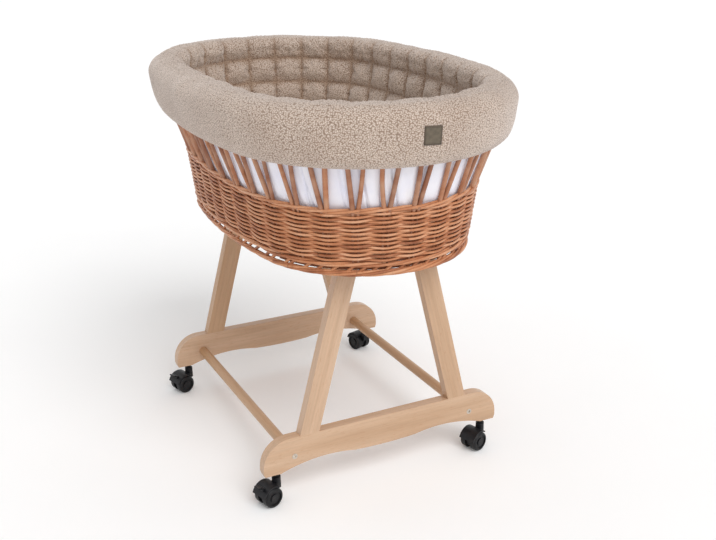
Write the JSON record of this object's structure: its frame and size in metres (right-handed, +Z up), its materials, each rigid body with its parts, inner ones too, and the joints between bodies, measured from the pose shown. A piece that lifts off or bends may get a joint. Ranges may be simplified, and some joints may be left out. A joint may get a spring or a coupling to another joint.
{
  "type": "wicker crib on castor stand",
  "caption": "Oval willow crib with open staked sides and a plush quilted liner, lifting off a beech stand with leaning legs, round stretchers and swivel castors.",
  "frame": {"origin": "floor point under the middle of the stand", "axes": "+Z up, +X along the foot rails to the right, +Y along the basket away from the patch"},
  "size_m": [0.6044, 0.8904, 0.77],
  "materials": {
    "beech": "clear satin lacquer, grain along each board",
    "willow": "stained honey-brown willow, woven",
    "willow_stakes": "stained honey-brown willow rods",
    "plush": "beige looped plush",
    "cotton": "white cotton",
    "ticking": "cream cotton mattress cover",
    "patch": "plain olive-brown patch",
    "black_plastic": "black nylon",
    "wheel_plastic": "black nylon, slightly worn",
    "steel": "zinc-plated"
  },
  "bodies": {
    "stand": {"front_foot_rail": "beech", "rear_foot_rail": "beech", "front_left_leg": "beech", "front_right_leg": "beech", "rear_left_leg": "beech", "rear_right_leg": "beech", "front_top_rail": "beech", "rear_top_rail": "beech", "left_bearer": "beech", "right_bearer": "beech", "left_stretcher": "beech", "right_stretcher": "beech", "stretcher_bolts": "steel", "leg_dowels": "beech", "bearer_dowels": "beech", "top_screws": "steel", "castor_sleeves": "black_plastic", "castor_stems": "black_plastic"},
    "basket": {"basket_base": "willow", "foot_border": "willow", "woven_band": "willow", "stakes": "willow_stakes", "rim_hoop": "willow", "lining": "cotton", "quilted_panel": "plush", "liner_cover": "plush", "mattress": "ticking", "label_patch": "patch"},
    "castor_front_left": {"front_left_housing": "black_plastic", "front_left_axle": "steel"},
    "wheel_front_left_a": {"front_left_wheel_a": "wheel_plastic"},
    "wheel_front_left_b": {"front_left_wheel_b": "wheel_plastic"},
    "brake_front_left": {"front_left_brake": "black_plastic"},
    "castor_front_right": {"front_right_housing": "black_plastic", "front_right_axle": "steel"},
    "wheel_front_right_a": {"front_right_wheel_a": "wheel_plastic"},
    "wheel_front_right_b": {"front_right_wheel_b": "wheel_plastic"},
    "castor_rear_left": {"rear_left_housing": "black_plastic", "rear_left_axle": "steel"},
    "wheel_rear_left_a": {"rear_left_wheel_a": "wheel_plastic"},
    "wheel_rear_left_b": {"rear_left_wheel_b": "wheel_plastic"},
    "brake_rear_left": {"rear_left_brake": "black_plastic"},
    "castor_rear_right": {"rear_right_housing": "black_plastic", "rear_right_axle": "steel"},
    "wheel_rear_right_a": {"rear_right_wheel_a": "wheel_plastic"},
    "wheel_rear_right_b": {"rear_right_wheel_b": "wheel_plastic"}
  },
  "joints": [
    {"name": "basket_lift", "type": "slide", "parent": "stand", "child": "basket", "axis": [0, 0, 1], "range_m": [0, 0.12]},
    {"name": "front_left_swivel", "type": "hinge", "parent": "stand", "child": "castor_front_left", "pos_m": [-0.228, -0.261, 0.042], "axis": [0, 0, 1], "continuous": true},
    {"name": "front_left_wheel_a_spin", "type": "hinge", "parent": "castor_front_left", "child": "wheel_front_left_a", "pos_m": [-0.24626, -0.26624, 0.02], "axis": [0.2756, -0.9613, 0], "continuous": true},
    {"name": "front_left_wheel_b_spin", "type": "hinge", "parent": "castor_front_left", "child": "wheel_front_left_b", "pos_m": [-0.24626, -0.26624, 0.02], "axis": [0.2756, -0.9613, 0], "continuous": true},
    {"name": "front_left_brake_press", "type": "hinge", "parent": "castor_front_left", "child": "brake_front_left", "pos_m": [-0.26375, -0.27125, 0.04168], "axis": [0.2756, -0.9613, 0], "range_deg": [0, 22]},
    {"name": "front_right_swivel", "type": "hinge", "parent": "stand", "child": "castor_front_right", "pos_m": [0.228, -0.261, 0.042], "axis": [0, 0, 1], "continuous": true},
    {"name": "front_right_wheel_a_spin", "type": "hinge", "parent": "castor_front_right", "child": "wheel_front_right_a", "pos_m": [0.20993, -0.26687, 0.02], "axis": [0.309, -0.9511, 0], "continuous": true},
    {"name": "front_right_wheel_b_spin", "type": "hinge", "parent": "castor_front_right", "child": "wheel_front_right_b", "pos_m": [0.20993, -0.26687, 0.02], "axis": [0.309, -0.9511, 0], "continuous": true},
    {"name": "rear_left_swivel", "type": "hinge", "parent": "stand", "child": "castor_rear_left", "pos_m": [-0.228, 0.261, 0.042], "axis": [0, 0, 1], "continuous": true},
    {"name": "rear_left_wheel_a_spin", "type": "hinge", "parent": "castor_rear_left", "child": "wheel_rear_left_a", "pos_m": [-0.24626, 0.25576, 0.02], "axis": [0.2756, -0.9613, 0], "continuous": true},
    {"name": "rear_left_wheel_b_spin", "type": "hinge", "parent": "castor_rear_left", "child": "wheel_rear_left_b", "pos_m": [-0.24626, 0.25576, 0.02], "axis": [0.2756, -0.9613, 0], "continuous": true},
    {"name": "rear_left_brake_press", "type": "hinge", "parent": "castor_rear_left", "child": "brake_rear_left", "pos_m": [-0.26375, 0.25075, 0.04168], "axis": [0.2756, -0.9613, 0], "range_deg": [0, 22]},
    {"name": "rear_right_swivel", "type": "hinge", "parent": "stand", "child": "castor_rear_right", "pos_m": [0.228, 0.261, 0.042], "axis": [0, 0, 1], "continuous": true},
    {"name": "rear_right_wheel_a_spin", "type": "hinge", "parent": "castor_rear_right", "child": "wheel_rear_right_a", "pos_m": [0.22308, 0.27935, 0.02], "axis": [-0.9659, -0.2588, 0], "continuous": true},
    {"name": "rear_right_wheel_b_spin", "type": "hinge", "parent": "castor_rear_right", "child": "wheel_rear_right_b", "pos_m": [0.22308, 0.27935, 0.02], "axis": [-0.9659, -0.2588, 0], "continuous": true}
  ]
}
